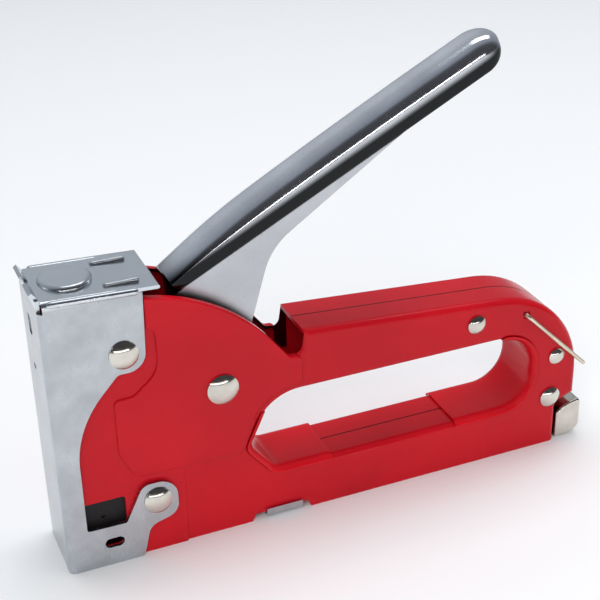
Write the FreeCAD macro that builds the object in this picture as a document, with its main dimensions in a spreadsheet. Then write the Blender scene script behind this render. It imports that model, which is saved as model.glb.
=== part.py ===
import FreeCAD, Part
import math
import os

# Hand-held spring tacker, millimetres.
# +X runs from the nose to the rear, -Y is the left side, +Z is up.
# The origin is the middle of the front edge of the nose's foot.

os.makedirs("parts", exist_ok=True)
doc = FreeCAD.newDocument("staple_gun")
V = FreeCAD.Vector
PLANES = {"XY": "XY_Plane", "XZ": "XZ_Plane", "YZ": "YZ_Plane"}

# ---------------------------------------------------------------- driving dimensions

DRIVING = {
    "bodyLength": 158.4,
    "shellHalf": 9.2,
    "frontHalf": 9.8,
    "panelHalf": 10.4,
    "shellSheet": 0.9,
    "edgeRadius": 2.0,
    "stepRadius": 0.55,
    "coverHalf": 11.0,
    "coverSheet": 1.0,
    "coverRadius": 1.8,
    "topHalf": 10.9,
    "seamGap": 0.04,
    "pivotX": 46.0,
    "pivotZ": 46.8,
    "pivotPin": 5.0,
    "bushOuter": 8.0,
    "bandHalf": 6.5,
    "webHalf": 5.9,
    "channelHalf": 4.9,
    "bandRadius": 4.8,
    "lifterHalf": 4.8,
    "forkHalf": 3.4,
    "strikerX": 9.6,
    "bladeHalf": 6.0,
    "bladeThick": 0.9,
    "bladeFront": 1.3,
    "plungerHalf": 8.5,
    "seatBottom": 30.3,
    "seatThick": 4.0,
    "springWire": 1.7,
    "springMean": 11.4,
    "springCoils": 9.0,
    "springTop": 80.9,
    "channelOuter": 6.7,
    "channelWall": 0.8,
    "channelTop": 12.6,
    "railOuter": 4.9,
    "railWall": 0.7,
    "railTop": 10.2,
    "stapleOuter": 5.65,
    "stapleWire": 0.5,
    "stripLength": 44.5,
    "rodRadius": 1.0,
    "rodZ": 5.6,
    "wireRadius": 0.6,
    "wireArm": 30.0,
    "wireHalf": 10.2,
    "wireX": 139.3,
    "wireZ": 46.8,
    "wireAngle": 45.0,
}

dims = doc.addObject("Spreadsheet::Sheet", "dims")
for row, (word, number) in enumerate(DRIVING.items(), start=1):
    dims.set("A%d" % row, word)
    dims.set("B%d" % row, str(number))
    dims.setAlias("B%d" % row, word)
doc.recompute()


def d(word):
    return DRIVING[word]


# ---------------------------------------------------------------- outlines

def insetCorners(corners, inset):
    # moves every side of a closed outline inward, and adjusts the corner radii to match
    count = len(corners)
    area = 0.0
    for i in range(count):
        a = corners[i]
        b = corners[(i + 1) % count]
        area += a[0] * b[1] - b[0] * a[1]
    side = 1.0 if area > 0 else -1.0
    moved = []
    for i in range(count):
        before = corners[i - 1]
        here = corners[i]
        after = corners[(i + 1) % count]
        first = (here[0] - before[0], here[1] - before[1])
        second = (after[0] - here[0], after[1] - here[1])
        firstLength = math.hypot(*first)
        secondLength = math.hypot(*second)
        first = (first[0] / firstLength, first[1] / firstLength)
        second = (second[0] / secondLength, second[1] / secondLength)
        turn = first[0] * second[1] - first[1] * second[0]
        along = inset * side * (1.0 - first[0] * second[0] - first[1] * second[1]) / turn
        x = here[0] - first[1] * side * inset - first[0] * along
        z = here[1] + first[0] * side * inset - first[1] * along
        radius = here[2] - inset if turn * side > 0 else here[2] + inset
        moved.append((x, z, max(radius, 0.0)))
    return moved


def loopEdges(corners, closed=True):
    # straight sides joined by tangent arcs; each corner is (x, z, radius)
    count = len(corners)
    stops = []
    arcs = []
    for i in range(count):
        here = V(corners[i][0], corners[i][1], 0)
        radius = corners[i][2]
        ends = not closed and i in (0, count - 1)
        if radius < 1e-6 or ends:
            stops.append((here, here))
            arcs.append(None)
            continue
        before = V(corners[i - 1][0], corners[i - 1][1], 0)
        after = V(corners[(i + 1) % count][0], corners[(i + 1) % count][1], 0)
        towardBefore = (before - here).normalize()
        towardAfter = (after - here).normalize()
        half = towardBefore.getAngle(towardAfter) / 2.0
        reach = radius / math.tan(half)
        start = here + towardBefore * reach
        finish = here + towardAfter * reach
        middle = (towardBefore + towardAfter).normalize()
        centre = here + middle * (radius / math.sin(half))
        crown = centre - middle * radius
        stops.append((start, finish))
        arcs.append(Part.Arc(start, crown, finish))
    edges = []
    for i in range(count):
        if arcs[i]:
            edges.append(arcs[i])
        if not closed and i == count - 1:
            break
        start = stops[i][1]
        finish = stops[(i + 1) % count][0]
        if start.distanceToPoint(finish) > 1e-6:
            edges.append(Part.LineSegment(start, finish))
    return edges


def boxCorners(x0, z0, x1, z1, radius=0.0):
    return [(x0, z0, radius), (x1, z0, radius), (x1, z1, radius), (x0, z1, radius)]


# ---------------------------------------------------------------- small modelling words

def newBody(label):
    body = doc.addObject("PartDesign::Body", label)
    body.Label = label
    return body


def newSketch(body, name, plane, loops=(), circles=(), path=None, lift=None):
    sketch = body.newObject("Sketcher::SketchObject", body.Name + "_" + name)
    base = [f for f in body.Origin.OriginFeatures if f.Role == PLANES[plane]][0]
    sketch.AttachmentSupport = [(base, "")]
    sketch.MapMode = "FlatFace"
    if lift is not None:
        if isinstance(lift, str):
            sketch.setExpression("AttachmentOffset.Base.z", lift)
        else:
            sketch.AttachmentOffset = FreeCAD.Placement(V(0, 0, lift), FreeCAD.Rotation())
    for corners in loops:
        sketch.addGeometry(loopEdges(corners), False)
    if path is not None:
        sketch.addGeometry(loopEdges(path, closed=False), False)
    for x, z, radius in circles:
        sketch.addGeometry(Part.Circle(V(x, z, 0), V(0, 0, 1), radius), False)
    return sketch


def pad(body, sketch, length, both=False, reverse=False):
    feature = body.newObject("PartDesign::Pad", sketch.Name + "_pad")
    feature.Profile = sketch
    if both:
        feature.SideType = "Symmetric"
    feature.Reversed = reverse
    feature.setExpression("Length", length)
    body.Tip = feature
    return feature


def pocket(body, sketch, length=None, both=False, reverse=False):
    feature = body.newObject("PartDesign::Pocket", sketch.Name + "_pocket")
    feature.Profile = sketch
    if both:
        feature.SideType = "Symmetric"
    feature.Reversed = reverse
    if length is None:
        feature.Type = "ThroughAll"
    else:
        feature.setExpression("Length", length)
    body.Tip = feature
    return feature


def edgesWhere(shape, test):
    return ["Edge%d" % (i + 1) for i, edge in enumerate(shape.Edges) if test(edge)]


def roundEdges(body, radius, test):
    doc.recompute()
    base = body.Tip
    feature = body.newObject("PartDesign::Fillet", "%s_round%d" % (body.Name, len(body.Group)))
    feature.Base = (base, edgesWhere(base.Shape, test))
    feature.setExpression("Radius", radius)
    body.Tip = feature
    doc.recompute()
    return feature


def allAt(edge, axis, value, slack=1e-4):
    box = edge.BoundBox
    low = getattr(box, axis + "Min")
    high = getattr(box, axis + "Max")
    return abs(low - value) < slack and abs(high - value) < slack


def place(body, x=None, y=None, z=None):
    for letter, expression in (("x", x), ("y", y), ("z", z)):
        if expression is not None:
            body.setExpression("Placement.Base." + letter, expression)


# ---------------------------------------------------------------- shared outlines of the body

HUMP = (48.35, 73.57, 52.0)
HUMP_FRONT = (25.0, 78.6, 0.0)
PANEL_FRONT = 26.7
OUTLINE = [
    (1.6, 0.0, 0.0),
    (53.2, 0.0, 0.0),
    (54.2, 2.3, 0.0),
    (70.2, 2.3, 0.0),
    (71.2, 0.0, 0.0),
    (152.3, 0.0, 0.0),
    (152.3, 13.0, 2.5),
    (d("bodyLength"), 15.4, 0.0),
    (d("bodyLength"), 51.2, 30.0),
    (70.1, 57.9, 0.0),
    (69.1, 51.4, 2.2),
    (65.6, 51.4, 2.2),
    HUMP,
    HUMP_FRONT,
    (1.6, 78.6, 0.0),
]
FINGER_HOLE = [
    (60.0, 39.8, 14.0),
    (53.0, 25.0, 3.0),
    (60.8, 15.4, 5.0),
    (143.4, 15.4, 11.0),
    (143.4, 39.8, 10.5),
]
FRONT_ZONE = [
    (1.6, 0.0, 0.0),
    (34.0, 0.0, 0.0),
    (34.4, 24.0, 1.0),
    (51.2, 24.0, 1.5),
    (58.4, 41.4, 12.0),
    (69.1, 41.4, 0.0),
    (69.1, 51.4, 2.2),
    (65.6, 51.4, 2.2),
    HUMP,
    HUMP_FRONT,
    (1.6, 78.6, 0.0),
]
PANEL = [
    (20.4, 25.4, 5.0),
    (50.6, 24.9, 1.5),
    (57.8, 42.2, 12.0),
    (69.1, 42.2, 0.0),
    (69.1, 51.4, 2.2),
    (65.6, 51.4, 2.2),
    HUMP,
    (PANEL_FRONT, HUMP[1] + (HUMP[0] - PANEL_FRONT) * (HUMP_FRONT[1] - HUMP[1]) / (HUMP[0] - HUMP_FRONT[0]), 0.0),
    (PANEL_FRONT, 69.4, 0.0),
    (28.8, 68.0, 2.0),
    (29.0, 56.5, 8.0),
    (22.0, 50.6, 3.0),
    (16.6, 50.4, 1.5),
    (16.6, 34.0, 6.0),
]
RIVETS = {
    "nose_rivet": (20.2, 63.9),
    "arm_rivet": (25.9, 17.2),
    "grip_rivet": (123.0, 47.4),
    "rear_rivets": (150.7, 30.3),
}
LOWER_REAR_RIVET = (149.4, 16.4)
RIVET_SHANK = 1.7
RIVET_PLAY = 0.03


# ---------------------------------------------------------------- body shells

def makeLeftShell():
    body = newBody("left_shell")
    side = newSketch(body, "side", "XZ", [OUTLINE, FINGER_HOLE])
    pad(body, side, "dims.shellHalf")

    def folded(edge):
        # the grip, the rear and the finger opening are folded inward; the hump and the foot are cut edges
        box = edge.BoundBox
        foot = box.ZMax < 2.4
        hump = box.XMax < 69.2 and box.ZMin > 50.0
        return allAt(edge, "Y", -d("shellHalf")) and box.XMax > 1.7 and not foot and not hump

    def stepEdge(edge, half):
        box = edge.BoundBox
        middle = edge.valueAt((edge.FirstParameter + edge.LastParameter) / 2)
        onHump = middle.z > 50.0 and middle.x > 29.5
        return allAt(edge, "Y", -half) and box.XMax > 1.7 and box.ZMin > 0.1 and box.ZMax < 70.5 and not onHump

    roundEdges(body, "dims.edgeRadius", folded)
    front = newSketch(body, "front_zone", "XZ", [FRONT_ZONE])
    pad(body, front, "dims.frontHalf")
    roundEdges(body, "dims.stepRadius", lambda e: stepEdge(e, d("frontHalf")))
    raised = newSketch(body, "panel", "XZ", [PANEL])
    pad(body, raised, "dims.panelHalf")
    roundEdges(body, "dims.stepRadius", lambda e: stepEdge(e, d("panelHalf")))

    sheet = d("shellSheet")
    holeWall = [insetCorners(FINGER_HOLE, -sheet)]
    hollow = newSketch(body, "hollow", "XZ", [insetCorners(OUTLINE, sheet)] + holeWall)
    pocket(body, hollow, "dims.shellHalf - dims.shellSheet", reverse=True)
    inner = newSketch(body, "front_hollow", "XZ", [insetCorners(FRONT_ZONE, sheet)])
    pocket(body, inner, "dims.frontHalf - dims.shellSheet", reverse=True)
    inner = newSketch(body, "panel_hollow", "XZ", [insetCorners(PANEL, sheet)])
    pocket(body, inner, "dims.panelHalf - dims.shellSheet", reverse=True)

    leverSlot = [
        (-1.0, 84.0, 0.0),
        (-1.0, 60.0, 0.0),
        (52.0, 60.0, 0.0),
        (62.0, 52.6, 0.0),
        (65.2, 50.0, 0.0),
        (71.4, 50.0, 0.0),
        (71.4, 56.8, 0.0),
        (68.4, 56.8, 0.0),
        (60.0, 84.0, 0.0),
    ]
    slot = newSketch(body, "lever_slot", "XZ", [leverSlot])
    pocket(body, slot, "dims.shellHalf - dims.shellSheet", reverse=True)
    nose = newSketch(body, "nose_mouth", "XZ", [boxCorners(-1.0, -1.0, 3.2, 62.0)])
    pocket(body, nose, "dims.frontHalf - dims.shellSheet", reverse=True)
    mouth = newSketch(body, "magazine_mouth", "XZ", [boxCorners(2.0, -1.0, 154.0, 11.0)])
    pocket(body, mouth, "dims.channelOuter + 0.2", reverse=True)
    rear = newSketch(body, "rear_mouth", "XZ", [boxCorners(149.0, -1.0, 154.0, 12.6)])
    pocket(body, rear, "dims.shellHalf - dims.shellSheet", reverse=True)

    window = newSketch(body, "window", "XZ", [boxCorners(5.2, 11.6, 17.2, 20.4, 0.8)])
    pocket(body, window, reverse=True)
    slot = newSketch(body, "slot", "XZ", [boxCorners(9.8, 5.1, 16.2, 9.1, 1.9)])
    pocket(body, slot, reverse=True)
    dimple = newSketch(body, "wire_dimple", "XZ", circles=[(d("wireX"), d("wireZ"), 1.3)], lift="dims.shellHalf - 0.45")
    pocket(body, dimple, "2", reverse=True)
    spots = list(RIVETS.values()) + [LOWER_REAR_RIVET]
    circles = [(x, z, RIVET_SHANK + RIVET_PLAY) for x, z in spots]
    circles.append((d("pivotX"), d("pivotZ"), d("pivotPin") / 2 + RIVET_PLAY))
    circles.append((d("wireX"), d("wireZ"), d("wireRadius") + 0.08))
    holes = newSketch(body, "holes", "XZ", circles=circles)
    pocket(body, holes, reverse=True)
    seam = newSketch(body, "seam", "XZ", [boxCorners(-5.0, -5.0, 170.0, 90.0)])
    pocket(body, seam, "dims.seamGap", reverse=True)
    return body


def makeRightShell(left):
    mirror = doc.addObject("Part::Mirroring", "right_shell")
    mirror.Label = "right_shell"
    mirror.Source = left
    mirror.Normal = V(0, 1, 0)
    return mirror


# ---------------------------------------------------------------- nose cover

COVER = [
    (0.0, 0.0, 0.0),
    (20.9, 0.0, 0.8),
    (23.2, 9.4, 4.0),
    (31.5, 11.6, 4.2),
    (31.5, 22.9, 5.4),
    (22.0, 22.9, 3.2),
    (16.8, 12.4, 0.8),
    (5.9, 12.6, 0.8),
    (5.9, 45.0, 30.0),
    (18.2, 58.4, 2.0),
    (25.7, 58.4, 5.0),
    (26.4, 81.6, 0.0),
    (0.0, 82.8, 0.0),
]


def makeNoseCover():
    body = newBody("nose_cover")
    side = newSketch(body, "side", "XZ", [COVER])
    pad(body, side, "2 * dims.coverHalf", both=True)

    def outerFold(edge):
        box = edge.BoundBox
        if abs(abs(box.YMin) - d("coverHalf")) > 1e-4 or abs(box.YMax - box.YMin) > 1e-4:
            return False
        return box.XMax < 1e-4 or box.ZMin > 81.0

    roundEdges(body, "dims.coverRadius", outerFold)
    sheet = d("coverSheet")
    inside = [(sheet, -2.0, 0.0), (40.0, -2.0, 0.0), (40.0, 79.98, 0.0), (sheet, 81.75, 0.0)]
    hollow = newSketch(body, "hollow", "XZ", [inside])
    pocket(body, hollow, "2 * (dims.coverHalf - dims.coverSheet)", both=True)

    def innerFold(edge):
        box = edge.BoundBox
        if abs(abs(box.YMin) - (d("coverHalf") - sheet)) > 1e-4 or abs(box.YMax - box.YMin) > 1e-4:
            return False
        return abs(box.XMax - sheet) < 1e-4 or (box.ZMin > 79.5 and box.ZMax < 81.9 and box.XMax - box.XMin > 5)

    roundEdges(body, "dims.coverRadius - dims.coverSheet", innerFold)
    tail = [(20.0, 81.88, 0.0), (20.0, 80.9, 0.0), (31.0, 80.38, 0.0), (31.0, 81.38, 0.0)]
    plate = newSketch(body, "tail", "XZ", [tail])
    pad(body, plate, "2 * dims.topHalf", both=True)
    roundEdges(body, "0.45", lambda e: e.BoundBox.XMin > 30.9 and e.BoundBox.YMax - e.BoundBox.YMin > 5)

    dome = newSketch(body, "dome", "XY", circles=[(d("strikerX"), 0.0, 6.9)], lift=81.3)
    pad(body, dome, "2.4")
    roundEdges(body, "1.3", lambda e: allAt(e, "Z", 83.7))
    dish = newSketch(body, "dish", "XY", circles=[(d("strikerX"), 0.0, 5.6)], lift=82.7)
    pocket(body, dish, "4")
    for side in (-1, 1):
        name = "rib_left" if side < 0 else "rib_right"
        rib = boxCorners(17.6, side * 6.6 - 0.9, 27.0, side * 6.6 + 0.9, 0.85)
        ridge = newSketch(body, name, "XY", [rib], lift=81.2)
        pad(body, ridge, "1.5")
    roundEdges(body, "0.5", lambda e: allAt(e, "Z", 82.7, 1e-3) and 17 < e.BoundBox.XMin < 28)

    curl = [(0.0, 79.5, 0.0), (1.0, 79.5, 0.0), (1.0, 83.0, 1.5), (-0.4, 84.8, 0.0), (-1.2, 84.2, 0.0), (0.0, 82.4, 1.0)]
    for side in (-1, 1):
        name = "lip_left" if side < 0 else "lip_right"
        lip = newSketch(body, name, "XZ", [curl], lift=side * 2.0 if side > 0 else -8.6)
        pad(body, lip, "6.6")
    slit = newSketch(body, "slits", "YZ", [boxCorners(-11.6, 79.6, -9.4, 86.0), boxCorners(9.4, 79.6, 11.6, 86.0)], lift=-3.0)
    pocket(body, slit, "4.3", reverse=True)
    front = newSketch(body, "front_hole", "YZ", circles=[(1.6, 59.0, 0.9)], lift=-3.0)
    pocket(body, front, "4.6", reverse=True)
    punch = [(-0.6, 68.6, 1.4), (2.4, 68.6, 0.5), (3.0, 74.2, 0.5), (-0.6, 74.2, 1.4)]
    tab = newSketch(body, "front_tab", "YZ", [punch], lift=-0.6)
    pocket(body, tab, "0.95", reverse=True)
    slot = newSketch(body, "slot", "XZ", [boxCorners(10.3, 5.6, 15.7, 8.6, 1.49)])
    pocket(body, slot, "60", both=True)
    spots = [RIVETS["nose_rivet"], RIVETS["arm_rivet"]]
    holes = newSketch(body, "holes", "XZ", circles=[(x, z, RIVET_SHANK + RIVET_PLAY) for x, z in spots])
    pocket(body, holes, "60", both=True)
    return body


# ---------------------------------------------------------------- handle and lifter

BAND = [
    (34.2, 78.8, 0.0),
    (54.0, 93.6, 60.0),
    (98.0, 117.4, 220.0),
    (127.6, 132.4, 6.0),
    (131.3, 123.8, 0.0),
    (36.0, 75.2, 0.0),
]
WEB = [
    (35.2, 78.0, 0.0),
    (38.9, 46.8, 0.0),
    (38.9, 39.7, 7.0),
    (53.1, 39.7, 7.0),
    (54.2, 54.0, 0.0),
    (62.7, 82.6, 18.0),
    (105.6, 111.4, 0.0),
    (105.6, 114.0, 0.0),
    (60.0, 90.6, 0.0),
]
HANDLE_CHANNEL = [
    (31.0, 75.2, 0.0),
    (54.4, 92.6, 59.0),
    (98.2, 116.3, 219.0),
    (127.0, 130.9, 5.0),
    (130.1, 123.8, 0.0),
    (132.8, 117.6, 0.0),
    (90.0, 60.0, 0.0),
    (60.0, 30.0, 0.0),
    (30.0, 30.0, 0.0),
]


def makeHandle():
    body = newBody("handle_lever")
    band = newSketch(body, "band", "XZ", [BAND])
    pad(body, band, "2 * dims.bandHalf", both=True)

    def crest(edge):
        box = edge.BoundBox
        flat = box.YMax - box.YMin < 1e-4 and abs(abs(box.YMin) - d("bandHalf")) < 1e-4
        middle = edge.valueAt((edge.FirstParameter + edge.LastParameter) / 2)
        under = 75.2 + (middle.x - 36.0) * 0.510
        return flat and middle.z > under + 0.6 and middle.x > 36.0

    roundEdges(body, "dims.bandRadius", crest)
    web = newSketch(body, "web", "XZ", [WEB])
    pad(body, web, "2 * dims.webHalf", both=True)
    channel = newSketch(body, "channel", "XZ", [insetCorners(HANDLE_CHANNEL, 1.6)])
    pocket(body, channel, "2 * dims.channelHalf", both=True)
    crown = newSketch(body, "crown", "XZ", [HANDLE_CHANNEL])
    pocket(body, crown, "2 * dims.channelHalf - 3.2", both=True)
    hole = newSketch(body, "pivot", "XZ", circles=[(d("pivotX"), d("pivotZ"), d("pivotPin") / 2 + 0.06)])
    pocket(body, hole, "60", both=True)
    return body


LIFTER = [
    (11.0, 29.9, 2.0),
    (11.0, 25.8, 2.0),
    (16.0, 25.2, 3.0),
    (40.0, 38.6, 8.0),
    (53.0, 40.0, 6.8),
    (53.6, 58.0, 3.0),
    (57.6, 76.5, 3.0),
    (50.0, 76.5, 3.0),
    (41.4, 54.0, 9.0),
    (20.4, 30.3, 5.0),
    (15.0, 29.9, 1.0),
]


def makeLifter():
    body = newBody("lifter_arm")
    side = newSketch(body, "side", "XZ", [LIFTER])
    pad(body, side, "2 * dims.lifterHalf", both=True)
    fork = newSketch(body, "fork", "XZ", [boxCorners(5.0, 20.0, 36.0, 60.0, 0.0)])
    pocket(body, fork, "2 * dims.forkHalf", both=True)
    hole = newSketch(body, "pivot", "XZ", circles=[(d("pivotX"), d("pivotZ"), d("bushOuter") / 2 + 0.03)])
    pocket(body, hole, "60", both=True)
    return body


# ---------------------------------------------------------------- rivets and bush

def makeRivet(label, half, shank, head, domeHeight, x, z):
    # a shank with a low spherical dome at each end; the profile turns about the sketch's V axis, which is Y here
    body = newBody(label)
    rim = 0.45
    sphere = (head * head + domeHeight * domeHeight) / (2 * domeHeight)
    pole = half + rim + domeHeight
    lean = math.asin(head / sphere) / 2
    crown = V(sphere * math.sin(lean), pole - sphere + sphere * math.cos(lean), 0)
    flat = 0.05
    upper = [V(flat, pole, 0), V(head, half + rim, 0), V(head, half, 0), V(shank, half, 0)]
    lower = [V(v.x, -v.y, 0) for v in reversed(upper)]
    sketch = newSketch(body, "profile", "XY")
    sketch.addGeometry(Part.Arc(upper[0], crown, upper[1]), False)
    stops = upper[1:] + lower[:3]
    for i in range(len(stops) - 1):
        sketch.addGeometry(Part.LineSegment(stops[i], stops[i + 1]), False)
    sketch.addGeometry(Part.Arc(lower[2], V(crown.x, -crown.y, 0), lower[3]), False)
    axis = [V(0, -pole, 0), V(0, pole, 0)]
    sketch.addGeometry(Part.LineSegment(lower[3], axis[0]), False)
    sketch.addGeometry(Part.LineSegment(axis[0], axis[1]), False)
    sketch.addGeometry(Part.LineSegment(axis[1], upper[0]), False)
    turn = body.newObject("PartDesign::Revolution", label + "_turn")
    turn.Profile = sketch
    turn.ReferenceAxis = (sketch, ["V_Axis"])
    turn.Angle = 360.0
    body.Tip = turn
    body.Placement = FreeCAD.Placement(V(x, 0, z), FreeCAD.Rotation())
    return body


def makeBush():
    bush = doc.addObject("Part::Cut", "pivot_bush")
    bush.Label = "pivot_bush"
    outer = doc.addObject("Part::Cylinder", "bush_outer")
    inner = doc.addObject("Part::Cylinder", "bush_inner")
    outer.setExpression("Radius", "dims.bushOuter / 2")
    inner.setExpression("Radius", "dims.pivotPin / 2 + 0.04")
    outer.setExpression("Height", "2 * dims.channelHalf - 0.2")
    inner.setExpression("Height", "2 * dims.channelHalf - 0.2")
    for cylinder in (outer, inner):
        cylinder.Placement = FreeCAD.Placement(V(0, 0, 0), FreeCAD.Rotation(V(1, 0, 0), 90))
        place(cylinder, "dims.pivotX", "dims.channelHalf - 0.1", "dims.pivotZ")
    bush.Base = outer
    bush.Tool = inner
    return bush


# ---------------------------------------------------------------- springs

def helixFeature(label, wireRadius, pitch, length, meanRadius):
    # a round wire swept along a helix that starts at the origin and rises along Z
    helix = Part.makeHelix(pitch, length, meanRadius)
    direction = helix.Edges[0].tangentAt(helix.Edges[0].FirstParameter)
    circle = Part.Wire(Part.makeCircle(wireRadius, V(meanRadius, 0, 0), direction))
    feature = doc.addObject("Part::Feature", label)
    feature.Label = label
    feature.Shape = Part.Wire(helix.Edges).makePipeShell([circle], True, True)
    return feature


def makeMainSpring():
    wire = d("springWire") / 2
    low = d("seatBottom") + d("seatThick") + wire + 0.05
    length = d("springTop") - wire - low
    feature = helixFeature("main_spring", wire, length / d("springCoils"), length, d("springMean") / 2)
    feature.Placement = FreeCAD.Placement(V(d("strikerX"), 0, low), FreeCAD.Rotation())
    return feature


def makeFollowerSpring():
    feature = helixFeature("follower_spring", 0.3, 3.6, 90.0, 2.6)
    turned = FreeCAD.Rotation(V(0, 1, 0), 90)
    feature.Placement = FreeCAD.Placement(V(58.0, 0, d("rodZ")), turned)
    return feature


def makeReturnSpring():
    # two turns beside the handle's left web; one leg rests forward, one leg lies up the web
    wire = 0.45
    radius = 3.6
    pitch = 1.0
    helix = Part.makeHelix(pitch, 2.0 * pitch, radius)
    start = V(radius, 0, 0)
    finish = V(radius, 0, 2.0 * pitch)
    overlap = V(0, 0.3, 0)
    low = Part.makeCylinder(wire, 9.3, start + overlap, V(0, -1, 0))
    high = Part.makeCylinder(wire, 12.3, finish - overlap, V(0, 1, 0))
    circle = Part.Wire(Part.makeCircle(wire, start, helix.Edges[0].tangentAt(helix.Edges[0].FirstParameter)))
    coil = Part.Wire(helix.Edges).makePipeShell([circle], True, True)
    feature = doc.addObject("Part::Feature", "return_spring")
    feature.Label = "return_spring"
    feature.Shape = coil.fuse([low, high])
    turned = FreeCAD.Rotation(V(1, 0, 0), 90) * FreeCAD.Rotation(V(0, 0, 1), 75)
    feature.Placement = FreeCAD.Placement(V(d("pivotX"), -6.75, d("pivotZ")), turned)
    return feature


# ---------------------------------------------------------------- striker

def makePlunger():
    body = newBody("plunger")
    front = d("bladeFront") + d("bladeThick") + 0.3
    low = d("seatBottom")
    high = low + d("seatThick")
    plate = newSketch(body, "seat", "XZ", [boxCorners(front, low, 17.0, high, 0.0)])
    pad(body, plate, "2 * dims.plungerHalf", both=True)
    stem = newSketch(body, "stem", "XZ", [boxCorners(front, 24.0, 7.8, low + 1.0, 0.0)])
    pad(body, stem, "2 * (dims.forkHalf - 0.3)", both=True)
    lug = newSketch(body, "lug", "XZ", [boxCorners(d("bladeFront") - 0.1, low + 0.6, front + 1.0, high - 0.6, 0.0)])
    pad(body, lug, "5", both=True)
    guide = newSketch(body, "guide", "XY", circles=[(d("strikerX"), 0.0, 4.3)], lift=high - 0.5)
    pad(body, guide, "8")
    roundEdges(body, "1.2", lambda e: allAt(e, "Z", high + 7.5))
    return body


def makeBlade():
    body = newBody("striker_blade")
    half = d("bladeHalf")
    outline = [(-half, 0.6, 0.0), (half, 0.6, 0.0), (half, 38.0, 1.5), (-half, 38.0, 1.5)]
    hole = boxCorners(-2.6, d("seatBottom") + 0.5, 2.6, d("seatBottom") + d("seatThick") - 0.5, 0.0)
    face = newSketch(body, "face", "YZ", [outline, hole], lift="dims.bladeFront")
    pad(body, face, "dims.bladeThick")
    return body


def makeBumper():
    body = newBody("bumper")
    side = newSketch(body, "side", "XZ", [boxCorners(2.6, 13.0, 18.6, 23.6, 0.8)])
    pad(body, side, "17.2", both=True)
    for side in (-1, 1):
        name = "cheek_left" if side < 0 else "cheek_right"
        near = 7.1 if side < 0 else -8.6
        cheek = newSketch(body, name, "XZ", [boxCorners(4.0, 11.2, 18.6, 14.5)], lift=near)
        pad(body, cheek, "1.5")
    for half in (1, -1):
        name = "dimple_left" if half < 0 else "dimple_right"
        dimple = newSketch(body, name, "XZ", circles=[(11.0, 14.8, 0.6)], lift=8.1 if half < 0 else -8.6)
        pocket(body, dimple, "0.5", reverse=True)
    return body


# ---------------------------------------------------------------- magazine

def makeChannel():
    body = newBody("magazine_channel")
    outer = d("channelOuter")
    wall = d("channelWall")
    top = d("channelTop")
    section = [
        (-outer, 0.9, 0.0),
        (-outer + wall, 0.9, 0.0),
        (-outer + wall, top - wall, 0.0),
        (outer - wall, top - wall, 0.0),
        (outer - wall, 0.9, 0.0),
        (outer, 0.9, 0.0),
        (outer, top, 1.0),
        (-outer, top, 1.0),
    ]
    profile = newSketch(body, "section", "YZ", [section], lift=2.6)
    pad(body, profile, "147.4")
    for side in (-1, 1):
        name = "clip_left" if side < 0 else "clip_right"
        hook = [
            (side * (outer - 0.4), 0.9, 0.0),
            (side * 10.0, 0.9, 0.9),
            (side * 10.0, 3.5, 0.0),
            (side * 9.4, 3.5, 0.0),
            (side * 9.4, 1.6, 0.0),
            (side * (outer - 0.4), 1.6, 0.0),
        ]
        clip = newSketch(body, name, "YZ", [hook], lift=57.4)
        pad(body, clip, "10.8")
    return body


def makeRail():
    body = newBody("magazine_rail")
    outer = d("railOuter")
    wall = d("railWall")
    section = [
        (-outer, 1.0, 0.6),
        (outer, 1.0, 0.6),
        (outer, d("railTop"), 0.0),
        (outer - wall, d("railTop"), 0.0),
        (outer - wall, 1.0 + wall, 0.0),
        (-outer + wall, 1.0 + wall, 0.0),
        (-outer + wall, d("railTop"), 0.0),
        (-outer, d("railTop"), 0.0),
    ]
    profile = newSketch(body, "section", "YZ", [section], lift=2.9)
    pad(body, profile, "149.9")
    stop = newSketch(body, "stop", "YZ", [boxCorners(-outer + 0.2, 1.2, outer - 0.2, 9.4, 0.0)], lift=150.0)
    pad(body, stop, "1.2")
    hole = newSketch(body, "rod_hole", "YZ", circles=[(0.0, d("rodZ"), d("rodRadius"))], lift=149.0)
    pocket(body, hole, "4", reverse=True)
    return body


LATCH = [
    (152.8, 0.5, 0.0),
    (158.0, 0.5, 3.0),
    (161.2, 2.6, 2.6),
    (161.2, 12.7, 1.2),
    (155.0, 11.2, 1.2),
    (152.8, 9.2, 1.0),
]


def makeLatch():
    body = newBody("magazine_latch")
    side = newSketch(body, "side", "XZ", [LATCH])
    pad(body, side, "17.6", both=True)
    roundEdges(body, "0.7", lambda e: abs(abs(e.BoundBox.YMin) - 8.8) < 1e-4 and e.BoundBox.YLength < 1e-4 and e.BoundBox.XMax > 153)
    inside = insetCorners(LATCH, 0.9)
    inside[0] = (150.0, inside[0][1], 0.0)
    inside[-1] = (150.0, inside[-2][1] - 2.0, 0.0)
    hollow = newSketch(body, "hollow", "XZ", [inside])
    pocket(body, hollow, "15.8", both=True)
    return body


def makeRod():
    rod = doc.addObject("Part::Cylinder", "follower_rod")
    rod.Label = "follower_rod"
    rod.setExpression("Radius", "dims.rodRadius")
    rod.Height = 107.5
    rod.Placement = FreeCAD.Placement(V(46.0, 0, 0), FreeCAD.Rotation(V(0, 1, 0), 90))
    place(rod, z="dims.rodZ")
    return rod


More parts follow.
